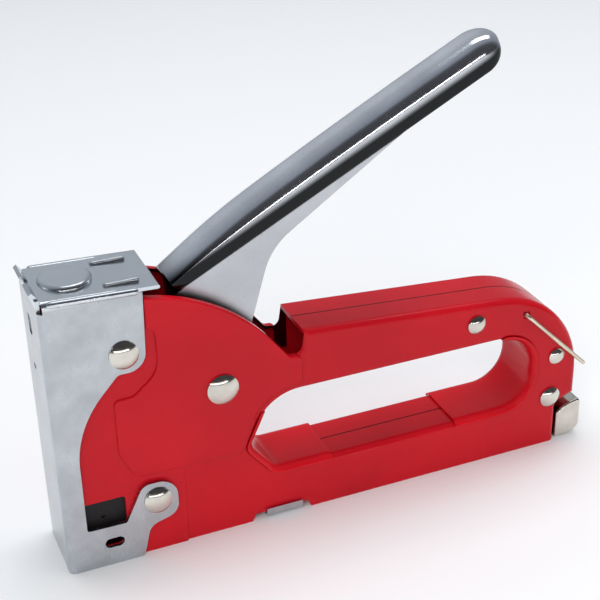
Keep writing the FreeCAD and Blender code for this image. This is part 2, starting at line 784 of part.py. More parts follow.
def makeFollower():
    body = newBody("staple_follower")
    outer = d("stapleOuter")
    gap = d("railOuter") + 0.25
    inner = d("railOuter") - d("railWall") - 0.3
    section = [
        (-outer, 3.8, 0.0),
        (-gap, 3.8, 0.0),
        (-gap, 10.5, 0.0),
        (-inner, 10.5, 0.0),
        (-inner, 2.1, 0.0),
        (inner, 2.1, 0.0),
        (inner, 10.5, 0.0),
        (gap, 10.5, 0.0),
        (gap, 3.8, 0.0),
        (outer, 3.8, 0.0),
        (outer, 11.4, 0.5),
        (-outer, 11.4, 0.5),
    ]
    profile = newSketch(body, "section", "YZ", [section], circles=[(0.0, d("rodZ"), d("rodRadius") + 0.1)], lift=47.4)
    pad(body, profile, "10")
    return body


def makeStaples():
    body = newBody("staple_strip")
    outer = d("stapleOuter")
    inner = outer - d("stapleWire")
    section = [
        (-outer, 4.4, 0.0),
        (-inner, 4.8, 0.0),
        (-inner, 11.0, 0.0),
        (inner, 11.0, 0.0),
        (inner, 4.8, 0.0),
        (outer, 4.4, 0.0),
        (outer, 11.5, 0.4),
        (-outer, 11.5, 0.4),
    ]
    profile = newSketch(body, "section", "YZ", [section], lift=2.6)
    pad(body, profile, "dims.stripLength")
    return body


# ---------------------------------------------------------------- handle lock

def makeLockWire():
    body = newBody("lock_wire")
    half = d("wireHalf")
    arm = d("wireArm")
    route = [(0, -7.9, 0), (0, -half, 1.2), (arm, -half, 1.6), (arm, half, 1.6), (0, half, 1.2), (0, 7.9, 0)]
    path = newSketch(body, "path", "XY", path=route)
    ring = newSketch(body, "ring", "XZ", circles=[(0, 0, d("wireRadius"))], lift=7.9)
    pipe = body.newObject("PartDesign::AdditivePipe", "lock_wire_pipe")
    pipe.Profile = ring
    pipe.Spine = path
    body.Tip = pipe
    turned = FreeCAD.Rotation(V(0, 1, 0), d("wireAngle"))
    body.Placement = FreeCAD.Placement(V(0, 0, 0), turned)
    place(body, "dims.wireX", None, "dims.wireZ")
    return body


# ---------------------------------------------------------------- assembly

leftShell = makeLeftShell()
cover = d("coverHalf")
shell = d("shellHalf")
rearFirst = makeRivet("rear_rivet_upper", shell, RIVET_SHANK, 2.6, 1.0, *RIVETS["rear_rivets"])
rearSecond = makeRivet("rear_rivet_lower", shell, RIVET_SHANK, 3.3, 1.2, *LOWER_REAR_RIVET)
parts = [
    leftShell,
    makeRightShell(leftShell),
    makeNoseCover(),
    makeHandle(),
    makeLifter(),
    makeRivet("pivot_rivet", d("panelHalf"), d("pivotPin") / 2, 4.4, 1.3, d("pivotX"), d("pivotZ")),
    makeBush(),
    makeRivet("nose_rivet", cover, RIVET_SHANK, 3.9, 1.3, *RIVETS["nose_rivet"]),
    makeRivet("arm_rivet", cover, RIVET_SHANK, 3.9, 1.3, *RIVETS["arm_rivet"]),
    makeRivet("grip_rivet", shell, RIVET_SHANK, 2.85, 1.1, *RIVETS["grip_rivet"]),
    rearFirst,
    rearSecond,
    makeMainSpring(),
    makeReturnSpring(),
    makePlunger(),
    makeBlade(),
    makeBumper(),
    makeChannel(),
    makeRail(),
    makeLatch(),
    makeRod(),
    makeFollower(),
    makeFollowerSpring(),
    makeStaples(),
    makeLockWire(),
]
doc.recompute()

for item in doc.Objects:
    if "Invalid" in item.State or "Error" in item.State:
        raise RuntimeError("%s did not compute: %s" % (item.Label, item.State))
for item in parts:
    if item.Shape.isNull() or not item.Shape.isValid() or len(item.Shape.Solids) != 1:
        raise RuntimeError("%s is not one valid solid" % item.Label)
    item.Shape.exportStep(os.path.join("parts", item.Label + ".step"))
    box = item.Shape.BoundBox
    print("%-18s solids %d  X %.1f..%.1f  Y %.1f..%.1f  Z %.1f..%.1f" % (
        item.Label, len(item.Shape.Solids), box.XMin, box.XMax, box.YMin, box.YMax, box.ZMin, box.ZMax))
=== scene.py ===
import bpy
import bmesh
import math
from mathutils import Matrix, Vector


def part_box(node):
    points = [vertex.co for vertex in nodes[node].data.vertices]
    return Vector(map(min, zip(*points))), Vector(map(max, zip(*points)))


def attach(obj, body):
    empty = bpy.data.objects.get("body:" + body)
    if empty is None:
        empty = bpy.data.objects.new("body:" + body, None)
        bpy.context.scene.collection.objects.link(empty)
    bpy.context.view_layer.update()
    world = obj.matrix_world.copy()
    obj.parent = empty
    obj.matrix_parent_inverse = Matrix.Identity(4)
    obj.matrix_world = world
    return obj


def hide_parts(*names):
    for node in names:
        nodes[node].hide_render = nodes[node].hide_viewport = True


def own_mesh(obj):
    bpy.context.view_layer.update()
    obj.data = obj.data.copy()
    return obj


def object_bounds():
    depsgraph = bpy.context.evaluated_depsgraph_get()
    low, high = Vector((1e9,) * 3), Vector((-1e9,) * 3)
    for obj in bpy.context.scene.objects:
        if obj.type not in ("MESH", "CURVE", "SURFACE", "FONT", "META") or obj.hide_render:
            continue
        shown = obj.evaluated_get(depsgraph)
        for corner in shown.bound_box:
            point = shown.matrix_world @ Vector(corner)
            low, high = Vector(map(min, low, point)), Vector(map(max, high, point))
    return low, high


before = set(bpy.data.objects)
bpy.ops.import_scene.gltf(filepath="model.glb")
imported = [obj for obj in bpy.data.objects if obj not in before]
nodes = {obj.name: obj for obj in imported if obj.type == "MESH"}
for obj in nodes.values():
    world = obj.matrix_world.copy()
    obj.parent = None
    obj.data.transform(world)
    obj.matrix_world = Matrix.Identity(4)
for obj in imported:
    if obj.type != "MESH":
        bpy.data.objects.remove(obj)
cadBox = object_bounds()
mm = 0.001


# a node's output as a value: arithmetic on it adds Math nodes to the same material
class Wire:
    def __init__(self, sheet, out):
        self.sheet = sheet
        self.out = out

    def maths(self, operation, first, second=0.0):
        return self.sheet.maths(operation, first, second)

    def __add__(self, other):
        return self.maths("ADD", self, other)

    def __radd__(self, other):
        return self.maths("ADD", other, self)

    def __sub__(self, other):
        return self.maths("SUBTRACT", self, other)

    def __rsub__(self, other):
        return self.maths("SUBTRACT", other, self)

    def __mul__(self, other):
        return self.maths("MULTIPLY", self, other)

    def __rmul__(self, other):
        return self.maths("MULTIPLY", other, self)

    def __abs__(self):
        return self.maths("ABSOLUTE", self)

    def ramp(self, low, high):
        # 0 at low, 1 at high, with soft ends
        return self.sheet.node("ShaderNodeMapRange", {"interpolation_type": "SMOOTHSTEP"}, {
            "Value": self, "From Min": low, "From Max": high, "To Min": 0.0, "To Max": 1.0})


# a node tree of a material or of the world
class Sheet:
    def __init__(self, tree):
        self.tree = tree
        self.tree.nodes.clear()

    def maths(self, operation, first, second):
        return self.node("ShaderNodeMath", {"operation": operation}, {0: first, 1: second})

    def node(self, kind, settings=None, sockets=None, output=0):
        made = self.tree.nodes.new(kind)
        for word, value in (settings or {}).items():
            if word == "stops":
                self.fillRamp(made.color_ramp, value)
            else:
                setattr(made, word, value)
        for key, value in (sockets or {}).items():
            if isinstance(value, Wire):
                self.tree.links.new(value.out, made.inputs[key])
            else:
                made.inputs[key].default_value = value
        return Wire(self, made.outputs[output]) if made.outputs else None

    def fillRamp(self, ramp, stops):
        while len(ramp.elements) < len(stops):
            ramp.elements.new(1.0)
        for element, (place, colour) in zip(ramp.elements, stops):
            element.position = place
            element.color = (*colour, 1.0)

    def place(self):
        return self.node("ShaderNodeTexCoord", output="Object")

    def noise(self, vector, scale, detail=3.0, rough=0.5, distortion=0.0):
        return self.node("ShaderNodeTexNoise", {}, {
            "Vector": vector, "Scale": scale, "Detail": detail, "Roughness": rough,
            "Distortion": distortion})

    def stretch(self, vector, scale):
        return self.node("ShaderNodeVectorMath", {"operation": "MULTIPLY"}, {0: vector, 1: scale})

    def parts(self, vector):
        split = self.node("ShaderNodeSeparateXYZ", {}, {0: vector}).out.node
        return [Wire(self, split.outputs[i]) for i in range(3)]

    def blend(self, factor, first, second):
        sockets = {0: factor, 6: first, 7: second}
        return self.node("ShaderNodeMix", {"data_type": "RGBA"}, sockets, output=2)

    def bump(self, height, strength, distance):
        return self.node("ShaderNodeBump", {}, {
            "Height": height, "Strength": strength, "Distance": distance})


def newMaterial(name, colour):
    material = bpy.data.materials.new(name)
    material.use_nodes = True
    material.diffuse_color = (*colour, 1.0)
    return material, Sheet(material.node_tree)


def finishMaterial(sheet, sockets):
    shader = sheet.node("ShaderNodeBsdfPrincipled", {}, sockets)
    sheet.node("ShaderNodeOutputMaterial", {}, {"Surface": shader})


def shade(colour, factor):
    return tuple(min(1.0, c * factor) for c in colour) + (1.0,)


# gloss enamel on pressed steel
redPaintLook = {
    "colour": (0.53, 0.005, 0.013),
    "roughness": 0.18,
    "peelSize": 0.9 * mm,
    "peelDepth": 0.012 * mm,
    "sheen": 0.20,
    "seamDark": 0.85,
    "seamHalf": 0.32 * mm,
    "innerHalf": 8.36 * mm,
    "mouthFloor": 43.0 * mm,
    "mouthTop": 56.85 * mm,
    "mouthRear": 71.8 * mm,
    "humpRear": 68.0 * mm,
    "cloudScale": 28.0,
    "dustScale": 2600.0,
    "scuffScale": 120.0,
}


def makeRedPaint(name, look):
    material, sheet = newMaterial(name, look["colour"])
    place = sheet.place()
    x, y, z = sheet.parts(place)
    broad = sheet.noise(place, look["cloudScale"], 3.0, 0.55)
    peel = sheet.noise(place, 1.0 / look["peelSize"], 2.0, 0.5)
    dust = sheet.noise(place, look["dustScale"], 1.0, 0.4).ramp(0.72, 0.80)
    drawn = sheet.stretch(place, (1.0, 1.0, 5.0))
    scuff = sheet.noise(drawn, look["scuffScale"], 4.0, 0.6, 0.4).ramp(0.64, 0.80)
    dull, fresh = shade(look["colour"], 0.90), shade(look["colour"], 1.08)
    tone = sheet.blend(broad.ramp(0.3, 0.7), dull, fresh)
    tone = sheet.blend(dust * 0.25, tone, shade(look["colour"], 1.3))
    # the joint between the halves is coloured near black as a real seam, and the shells' inner faces
    # seen in the mouth in front of the grip get painted shade
    seam = 1 - abs(y).ramp(look["seamHalf"] * 0.4, look["seamHalf"])
    inner = 1 - abs(y).ramp(look["innerHalf"], look["innerHalf"] + 0.02 * mm)
    above = z.ramp(look["mouthFloor"], look["mouthFloor"] + 1.0 * mm)
    below = 1 - z.ramp(look["mouthTop"], look["mouthTop"] + 0.05 * mm)
    mouth = above * below * (1 - x.ramp(look["mouthRear"], look["mouthRear"] + 0.2 * mm))
    hump = above * (1 - x.ramp(look["humpRear"], look["humpRear"] + 0.2 * mm))
    insideShade = inner * sheet.maths("MAXIMUM", mouth, hump)
    seamAndShade = sheet.maths("MAXIMUM", insideShade, seam * look["seamDark"])
    # painted shade: the mouth's inner faces take the same near-black colour as the seam line
    tone = sheet.blend(seamAndShade, tone, shade(look["colour"], 0.05))
    relief = peel + scuff * 0.1 - seam * 6.0 * look["seamDark"]
    finishMaterial(sheet, {
        "Base Color": tone,
        "Roughness": look["roughness"] + broad * 0.08 + scuff * 0.06 + dust * 0.1 + seamAndShade * 0.3,
        "Normal": sheet.bump(relief, 1.0, look["peelDepth"]),
        "Specular IOR Level": look["sheen"],
    })
    return material


# zinc plated sheet: a satin metal with faint drawing marks and cloudy patches
zincLook = {
    "colour": (0.49, 0.515, 0.54),
    "roughness": 0.17,
    "grain": (1.0, 1.0, 0.06),
    # painted light: how much brighter the top plate is coloured
    "topPaintedLight": 1.5,
    "topEdge": 80.2 * mm,
}
# how fine each mark in the plating is
plateMarks = {"cloud": 90.0, "blotch": 420.0, "lines": 2400.0, "scratch": 3800.0}


def makePlate(name, look, marks=plateMarks):
    material, sheet = newMaterial(name, look["colour"])
    place = sheet.place()
    cloud = sheet.noise(place, marks["cloud"], 4.0, 0.6)
    blotch = sheet.noise(place, marks["blotch"], 2.0, 0.5)
    lines = sheet.noise(sheet.stretch(place, look["grain"]), marks["lines"], 3.0, 0.6)
    drawn = sheet.stretch(place, (1.0, 1.0, 0.02))
    scratch = sheet.noise(drawn, marks["scratch"], 1.0, 0.5).ramp(0.70, 0.76)
    dull, clean = shade(look["colour"], 0.84), shade(look["colour"], 1.12)
    tone = sheet.blend(cloud.ramp(0.25, 0.75), dull, clean)
    tone = sheet.blend(scratch * 0.25, tone, shade(look["colour"], 0.6))
    if "topPaintedLight" in look:
        # painted light: the domed top plate is coloured brighter than the cheeks
        z = sheet.parts(place)[2]
        crownPaintedLight = z.ramp(look["topEdge"], look["topEdge"] + 0.7 * mm) * 0.75
        tone = sheet.blend(crownPaintedLight, tone, shade(look["colour"], look["topPaintedLight"]))
    finishMaterial(sheet, {
        "Base Color": tone,
        "Metallic": 1.0,
        "Roughness": look["roughness"] + cloud * 0.10 + lines * 0.05 + blotch * 0.03,
        "Normal": sheet.bump(lines * 0.4 + blotch * 0.3 + cloud * 2.0, 0.5, 0.008 * mm),
    })
    return material


# the lever: a polished crest over brushed side webs
leverLook = {
    "colour": (0.80, 0.82, 0.86),
    "crestRoughness": 0.10,
    "webRoughness": 0.30,
    "creaseX": 36.0 * mm,
    "creaseZ": 75.2 * mm,
    "creaseSlope": 0.510,
    # painted shade: colour factor for the rolled side of the crest above the crease
    "flankShade": 0.03,
    "flankFrom": 3.4 * mm,
    "flankTo": 6.6 * mm,
    # painted shade: the side webs are the same chrome coloured darker
    "webPaintedShade": 0.68,
    "cloudScale": 60.0,
    "brushScale": 3200.0,
    "speckScale": 1500.0,
}


def makeLeverChrome(look):
    material, sheet = newMaterial("leverChrome", look["colour"])
    place = sheet.place()
    x, _, z = sheet.parts(place)
    aboveCrease = z - (x - look["creaseX"]) * look["creaseSlope"] - look["creaseZ"]
    crest = aboveCrease.ramp(-0.5 * mm, 0.1 * mm)
    cloud = sheet.noise(place, look["cloudScale"], 4.0, 0.6)
    turned = sheet.node("ShaderNodeVectorRotate", {"rotation_type": "Y_AXIS"}, {
        "Vector": place, "Angle": math.atan(look["creaseSlope"])})
    brushed = sheet.noise(sheet.stretch(turned, (0.05, 1.0, 1.0)), look["brushScale"], 3.0, 0.6)
    specks = sheet.noise(place, look["speckScale"], 1.0, 0.4).ramp(0.70, 0.76)
    dull, clean = shade(look["colour"], 0.92), shade(look["colour"], 1.06)
    tone = sheet.blend(cloud.ramp(0.3, 0.7), dull, clean)
    tone = sheet.blend(specks * 0.5, tone, shade(look["colour"], 0.45))
    # painted shade: the rolled side of the crest just above the crease is coloured near black, in
    # place of the dim reflection it shows
    paintedFlankShade = crest * (1 - aboveCrease.ramp(look["flankFrom"], look["flankTo"]))
    tone = sheet.blend(paintedFlankShade, tone, shade(look["colour"], look["flankShade"]))
    # painted shade: the webs take the crest's colour multiplied down
    webShadedTone = sheet.node("ShaderNodeMix", {"data_type": "RGBA", "blend_type": "MULTIPLY"}, {
        0: 1.0, 6: tone, 7: shade((1.0, 1.0, 1.0), look["webPaintedShade"])}, output=2)
    tone = sheet.blend(crest, webShadedTone, tone)
    satin = look["webRoughness"] + brushed * 0.12
    polish = look["crestRoughness"] + cloud * 0.05 + specks * 0.2
    finishMaterial(sheet, {
        "Base Color": tone,
        "Metallic": 1.0,
        "Roughness": satin * (1 - crest) + polish * crest,
        "Normal": sheet.bump(brushed * (1 - crest * 0.85) + cloud * 0.5, 0.5, 0.006 * mm),
    })
    return material


plateLooks = {
    "zincPlate": zincLook,
    "nickelRivet": {"colour": (0.70, 0.67, 0.60), "roughness": 0.06, "grain": (1.0, 1.0, 1.0)},
    "nickelWire": {"colour": (0.78, 0.71, 0.56), "roughness": 0.24, "grain": (1.0, 1.0, 1.0)},
    "hardSteel": {"colour": (0.45, 0.46, 0.48), "roughness": 0.36, "grain": (0.1, 1.0, 1.0)},
    "springSteel": {"colour": (0.34, 0.34, 0.36), "roughness": 0.32, "grain": (1.0, 1.0, 1.0)},
    "stapleWire": {"colour": (0.72, 0.73, 0.74), "roughness": 0.28, "grain": (0.05, 1.0, 1.0)},
}
blackLook = {"colour": (0.010, 0.009, 0.010), "roughness": 0.42, "sheen": 0.25, "grainScale": 2200.0}


def makeBlackPlastic(look):
    material, sheet = newMaterial("blackPlastic", look["colour"])
    place = sheet.place()
    grain = sheet.noise(place, look["grainScale"], 2.0, 0.6)
    tone = sheet.blend(grain.ramp(0.3, 0.7), shade(look["colour"], 0.7), shade(look["colour"], 1.6))
    finishMaterial(sheet, {
        "Base Color": tone,
        "Roughness": look["roughness"] + grain * 0.15,
        "Normal": sheet.bump(grain, 0.5, 0.03 * mm),
        "Specular IOR Level": look["sheen"],
    })
    return material


# the folded guards carry the same enamel without the seam, coloured a little brighter as painted
# light
guardPaintLook = {**redPaintLook, "colour": (0.60, 0.007, 0.015), "seamDark": 0.0}

finishes = {name: makePlate(name, look) for name, look in plateLooks.items()}
finishes["redPaint"] = makeRedPaint("redPaint", redPaintLook)
finishes["redGuard"] = makeRedPaint("redGuard", guardPaintLook)
finishes["leverChrome"] = makeLeverChrome(leverLook)
finishes["blackPlastic"] = makeBlackPlastic(blackLook)
print("finishes made:", len(finishes))

nodeFinish = {
    "left_shell": "redPaint",
    "right_shell": "redPaint",
    "nose_cover": "zincPlate",
    "handle_lever": "leverChrome",
    "lifter_arm": "hardSteel",
    "pivot_rivet": "nickelRivet",
    "pivot_bush": "hardSteel",
    "nose_rivet": "nickelRivet",
    "arm_rivet": "nickelRivet",
    "grip_rivet": "nickelRivet",
    "rear_rivet_upper": "nickelRivet",
    "rear_rivet_lower": "nickelRivet",
    "main_spring": "springSteel",
    "return_spring": "springSteel",
    "plunger": "hardSteel",
    "striker_blade": "hardSteel",
    "bumper": "blackPlastic",
    "magazine_channel": "zincPlate",
    "magazine_rail": "zincPlate",
    "magazine_latch": "nickelRivet",
    "follower_rod": "hardSteel",
    "staple_follower": "hardSteel",
    "follower_spring": "springSteel",
    "staple_strip": "stapleWire",
    "lock_wire": "nickelWire",
}
for name, finish in nodeFinish.items():
    for materialSlot in nodes[name].material_slots:
        materialSlot.material = finishes[finish]
print("finishes given to", len(nodeFinish), "nodes")


def newPiece(name, mesh, finish, body, slotName, *replaced):
    piece = bpy.data.objects.new(name, mesh)
    bpy.context.scene.collection.objects.link(piece)
    mesh.materials.append(finishes[finish])
    for face in mesh.polygons:
        face.use_smooth = True
    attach(piece, body)
    if replaced:
        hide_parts(*replaced)
    return piece


def loftMesh(name, rings, closed, caps=(False, False)):
    # rings of equally many points; closed joins each ring's ends
    work = bmesh.new()
    rows = [[work.verts.new(point) for point in ring] for ring in rings]
    count = len(rings[0])
    for before, after in zip(rows, rows[1:]):
        for i in range(count if closed else count - 1):
            j = (i + 1) % count
            work.faces.new((before[i], before[j], after[j], after[i]))
    if caps[0]:
        work.faces.new(list(reversed(rows[0])))
    if caps[1]:
        work.faces.new(rows[-1])
    bmesh.ops.recalc_face_normals(work, faces=work.faces)
    mesh = bpy.data.meshes.new(name)
    work.to_mesh(mesh)
    work.free()
    return mesh


# the lever's rolled crest, in millimetres along and above its underside line
crestShape = {
    "underFront": (36.0, 75.2),
    "slope": 0.510,
    "length": 107.6,
    "halfWidth": 6.45,
    "lip": 5.85,
    "sheet": 0.9,
    "tip": 7.6,
    "belly": 0.44,
    "fullness": 2.25,
    "heights": [
        (0.0, 4.3), (8.0, 5.9), (16.0, 7.15), (26.0, 8.15),
        (40.0, 8.75), (60.0, 9.25), (80.0, 9.5), (107.6, 9.5),
    ],
    "frontPinch": 0.55,
    "pinchLength": 20.0,
    "lipClear": 0.2,
    "core": 0.52,
    "sideSwell": 0.9,
    "step": 1.1,
    "across": 14,
    "tipSteps": 14,
    "tipEnd": 0.015,
}


def smoothValue(stops, at):
    # a smooth curve through the stops
    for i in range(len(stops) - 1):
        if at <= stops[i + 1][0]:
            break
    (x0, y0), (x1, y1) = stops[i], stops[i + 1]
    before = stops[max(i - 1, 0)]
    after = stops[min(i + 2, len(stops) - 1)]
    m0 = (y1 - before[1]) / (x1 - before[0])
    m1 = (after[1] - y0) / (after[0] - x0)
    t = (at - x0) / (x1 - x0)
    h = x1 - x0
    return ((2 * t ** 3 - 3 * t ** 2 + 1) * y0 + (t ** 3 - 2 * t ** 2 + t) * h * m0
            + (3 * t ** 2 - 2 * t ** 3) * y1 + (t ** 3 - t ** 2) * h * m1)


def crestRing(shape, along, swell):
    # one cross-section, from lip to lip over the top; swell shrinks it towards the tip
    height = smoothValue(shape["heights"], along)
    belly = shape["belly"] * height
    half = shape["halfWidth"] - shape["frontPinch"] * max(0.0, 1 - along / shape["pinchLength"])
    lip = min(shape["lip"], half - shape["lipClear"])
    steps = shape["across"]
    side = []
    for i in range(steps):
        turn = math.pi / 2 * i / steps
        side.append((lip + (half - lip) * math.sin(turn), belly * (1 - math.cos(turn))))
    power = 2 / shape["fullness"]
    for i in range(2 * steps + 1):
        turn = math.pi / 2 * i / (2 * steps)
        out = half * max(math.cos(turn), 0.0) ** power
        side.append((out, belly + (height - belly) * math.sin(turn) ** power))
    centre = shape["core"] * height
    profile = side + [(-y, n) for y, n in reversed(side[:-1])]
    return [(y * swell ** shape["sideSwell"], centre + (n - centre) * swell) for y, n in profile]


def makeCrest(shape):
    angle = math.atan(shape["slope"])
    alongX, alongZ = math.cos(angle), math.sin(angle)
    frontX, frontZ = shape["underFront"]
    straight = shape["length"] - shape["tip"]
    count = round(straight / shape["step"])
    stations = [(straight * i / count, 1.0) for i in range(count)]
    for i in range(shape["tipSteps"] + 1):
        turn = math.pi / 2 * i / shape["tipSteps"]
        swell = max(math.cos(turn), shape["tipEnd"])
        stations.append((straight + shape["tip"] * math.sin(turn), swell))
    rings = []
    for along, swell in stations:
        ring = []
        for y, n in crestRing(shape, along, swell):
            x = frontX + along * alongX - n * alongZ
            z = frontZ + along * alongZ + n * alongX
            ring.append((x * mm, y * mm, z * mm))
        rings.append(ring)
    mesh = loftMesh("leverCrest", rings, False)
    piece = newPiece("leverCrest", mesh, "leverChrome", "handle", "bright_chrome")
    wall = piece.modifiers.new("sheet", "SOLIDIFY")
    wall.thickness = shape["sheet"] * mm
    wall.offset = -1.0


def roundedOutline(corners, steps=10):
    # straight sides joined by tangent arcs; each corner is (x, z, radius)
    points = []
    for i, (x, z, radius) in enumerate(corners):
        here = Vector((x, z))
        if radius == 0:
            points.append(here)
            continue
        before = (Vector(corners[i - 1][:2]) - here).normalized()
        after = (Vector(corners[(i + 1) % len(corners)][:2]) - here).normalized()
        half = before.angle(after) / 2
        centre = here + (before + after).normalized() * (radius / math.sin(half))
        start = here + before * (radius / math.tan(half)) - centre
        finish = here + after * (radius / math.tan(half)) - centre
        turn = start.angle_signed(finish)
        for k in range(steps + 1):
            bend = -turn * k / steps
            points.append(centre + Vector((
                start.x * math.cos(bend) - start.y * math.sin(bend),
                start.x * math.sin(bend) + start.y * math.cos(bend))))
    return points


# flat webs under the crest, one each side of the pivot
webShape = {
    "outer": 5.9,
    "inner": 4.9,
    "edge": 0.18,
    "outline": [
        (36.2, 76.6, 0.0), (38.9, 46.8, 0.0), (38.9, 39.7, 7.0),
        (53.1, 39.7, 7.0), (54.2, 54.0, 0.0), (62.7, 82.6, 18.0),
        (105.6, 111.4, 0.0), (105.6, 113.6, 0.0), (60.0, 90.2, 0.0),
    ],
}


def makeWeb(shape, side, name, *replaced):
    work = bmesh.new()
    outline = roundedOutline(shape["outline"])
    ring = [work.verts.new((p.x * mm, side * shape["inner"] * mm, p.y * mm)) for p in outline]
    face = work.faces.new(ring)
    grown = bmesh.ops.extrude_face_region(work, geom=[face])["geom"]
    moved = [v for v in grown if isinstance(v, bmesh.types.BMVert)]
    thick = side * (shape["outer"] - shape["inner"]) * mm
    bmesh.ops.translate(work, verts=moved, vec=(0, thick, 0))
    bmesh.ops.recalc_face_normals(work, faces=work.faces)
    mesh = bpy.data.meshes.new(name)
    work.to_mesh(mesh)
    work.free()
    piece = newPiece(name, mesh, "leverChrome", "handle", "bright_chrome", *replaced)
    for flat in piece.data.polygons:
        flat.use_smooth = False
    soft = piece.modifiers.new("edge", "BEVEL")
    soft.width = shape["edge"] * mm
    soft.segments = 2
    soft.limit_method = "ANGLE"


makeCrest(crestShape)
makeWeb(webShape, -1, "leverWebLeft", "handle_lever")
makeWeb(webShape, 1, "leverWebRight")
print("lever made")


# rolled beads along the nose cover's top edges
beadShape = {
    "front": 2.4,
    "rear": 25.6,
    "half": 10.62,
    "radius": 0.95,
    "topFront": 82.85,
    "drop": 1.2 / 26.4,
    # how each end rounds off: distance in radii, share of the radius
    "ends": [(0.0, 0.05), (0.12, 0.5), (0.45, 0.86), (1.0, 1.0)],
    "spans": 8,
    "around": 20,
}


def makeBead(shape, side, name):
    rings = []
    radius = shape["radius"]
    spans, around = shape["spans"], shape["around"]
    length = shape["rear"] - shape["front"]
    stations = [(shape["front"] + a * radius, k) for a, k in shape["ends"]]
    stations += [(shape["front"] + length * i / spans, 1.0) for i in range(1, spans)]
    stations += [(shape["rear"] - a * radius, k) for a, k in reversed(shape["ends"])]
    for x, k in stations:
        z = shape["topFront"] - x * shape["drop"] - radius
        ring = []
        for i in range(around):
            a = 2 * math.pi * i / around
            y = side * shape["half"] + radius * k * math.cos(a)
            ring.append((x * mm, y * mm, (z + radius * k * math.sin(a)) * mm))
        rings.append(ring)
    mesh = loftMesh(name, rings, True, (True, True))
    newPiece(name, mesh, "zincPlate", "body", "zinc_plate")


makeBead(beadShape, -1, "coverBeadLeft")
makeBead(beadShape, 1, "coverBeadRight")
print("cover beads made")


# smooth guards folded over both ends of the finger opening
guardShape = {
    "flatHalf": 7.2,
    "foldRadius": 2.0,
    "lift": 0.38,
    "hollow": 0.16,
    "wrap": 68.0,
    "sheet": 0.45,
    "rim": 0.12,
    "step": 1.5,
    "across": 12,
    "wrapSteps": 6,
    "rearPath": [(117.4, 15.4, 0.0), (143.4, 15.4, 11.0), (143.4, 39.8, 10.5), (132.6, 39.8, 0.0)],
    "frontPath": [(77.9, 15.4, 0.0), (60.8, 15.4, 5.0), (53.0, 25.0, 3.0), (57.9, 35.36, 0.0)],
}


def bendPath(corners, step, arcSteps=16):
    # closely spaced points along an open path with rounded corners
    points = []
    for i, (x, z, radius) in enumerate(corners):
        if radius == 0:
            points.append(Vector((x, z)))
            continue
        trio = [corners[i - 1], corners[i], corners[i + 1]]
        arc = roundedOutline([(*trio[0][:2], 0), trio[1], (*trio[2][:2], 0)], arcSteps)
        points += arc[1:-1]
    even = [points[0]]
    for before, after in zip(points, points[1:]):
        count = max(1, round((after - before).length / step))
        even += [before.lerp(after, k / count) for k in range(1, count + 1)]
    return even


def makeGuard(shape, path, side, name):
    points = bendPath(path, shape["step"])
    profile = []
    flat = shape["flatHalf"]
    wrapSteps = shape["wrapSteps"]
    wraps = [math.radians(shape["wrap"]) * i / wrapSteps for i in range(1, wrapSteps + 1)]
    for i in range(shape["across"] + 1):
        y = -flat + 2 * flat * i / shape["across"]
        profile.append((y, shape["lift"] - shape["hollow"] * (1 - (y / flat) ** 2)))
    reach = shape["foldRadius"] + shape["lift"]
    over = [(flat + reach * math.sin(a), reach * math.cos(a) - shape["foldRadius"]) for a in wraps]
    profile = [(-y, n) for y, n in reversed(over)] + profile + over
    rings = []
    for i, point in enumerate(points):
        ahead = points[min(i + 1, len(points) - 1)] - points[max(i - 1, 0)]
        ahead.normalize()
        inward = Vector((-ahead.y, ahead.x)) * side
        ring = []
        for y, n in profile:
            ring.append(((point.x + inward.x * n) * mm, y * mm, (point.y + inward.y * n) * mm))
        rings.append(ring)
    mesh = loftMesh(name, rings, False)
    piece = newPiece(name, mesh, "redGuard", "body", "red_paint")
    wall = piece.modifiers.new("sheet", "SOLIDIFY")
    wall.thickness = shape["sheet"] * mm
    wall.offset = -1.0 if side > 0 else 1.0
    rim = piece.modifiers.new("rim", "BEVEL")
    rim.width = shape["rim"] * mm
    rim.segments = 2
    rim.limit_method = "ANGLE"


makeGuard(guardShape, guardShape["rearPath"], 1, "rearGuard")
makeGuard(guardShape, guardShape["frontPath"], -1, "frontGuard")
print("guards made")


# the two coil springs, wound anew to fill their parts' boxes
springShapes = {
    "mainCoil": {
        "node": "main_spring", "body": "body", "joint": "striker_lift", "travel": 22.4,
        "wire": 0.85, "turns": 9, "axis": (0, 0, 1), "first": (1, 0, 0),
        "stations": 32, "around": 12,
    },
    "followerCoil": {
        "node": "follower_spring", "body": "magazine", "joint": "follower_feed", "travel": 40.0,
        "wire": 0.3, "turns": 25, "axis": (1, 0, 0), "first": (0, 0, -1),
        "stations": 24, "around": 8,
    },
}


def makeSpring(shape, name):
    low, high = (Vector(corner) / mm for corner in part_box(shape["node"]))
    axis, first = Vector(shape["axis"]), Vector(shape["first"])
    second = axis.cross(first)
    wire, turns = shape["wire"], shape["turns"]
    size = high - low
    length = size.dot(axis)
    radius = abs(size.dot(second)) / 2 - wire
    span = length - 2 * wire
    start = (low + high) / 2 - axis * (span / 2)
    steps = turns * shape["stations"]
    climb = axis * (span / (2 * math.pi * turns))
    angles = [2 * math.pi * k / shape["around"] for k in range(shape["around"])]
    rings = []
    for i in range(steps + 1):
        turn = 2 * math.pi * turns * i / steps
        out = first * math.cos(turn) + second * math.sin(turn)
        flow = (second * math.cos(turn) - first * math.sin(turn)) * radius + climb
        side = out.cross(flow).normalized()
        centre = start + out * radius + axis * (span * i / steps)
        around = [out * math.cos(a) + side * math.sin(a) for a in angles]
        rings.append([tuple((centre + spoke * wire) * mm) for spoke in around])
    mesh = loftMesh(name, rings, True, (True, True))
    piece = newPiece(name, mesh, "springSteel", shape["body"], "spring_steel", shape["node"])
    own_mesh(piece)


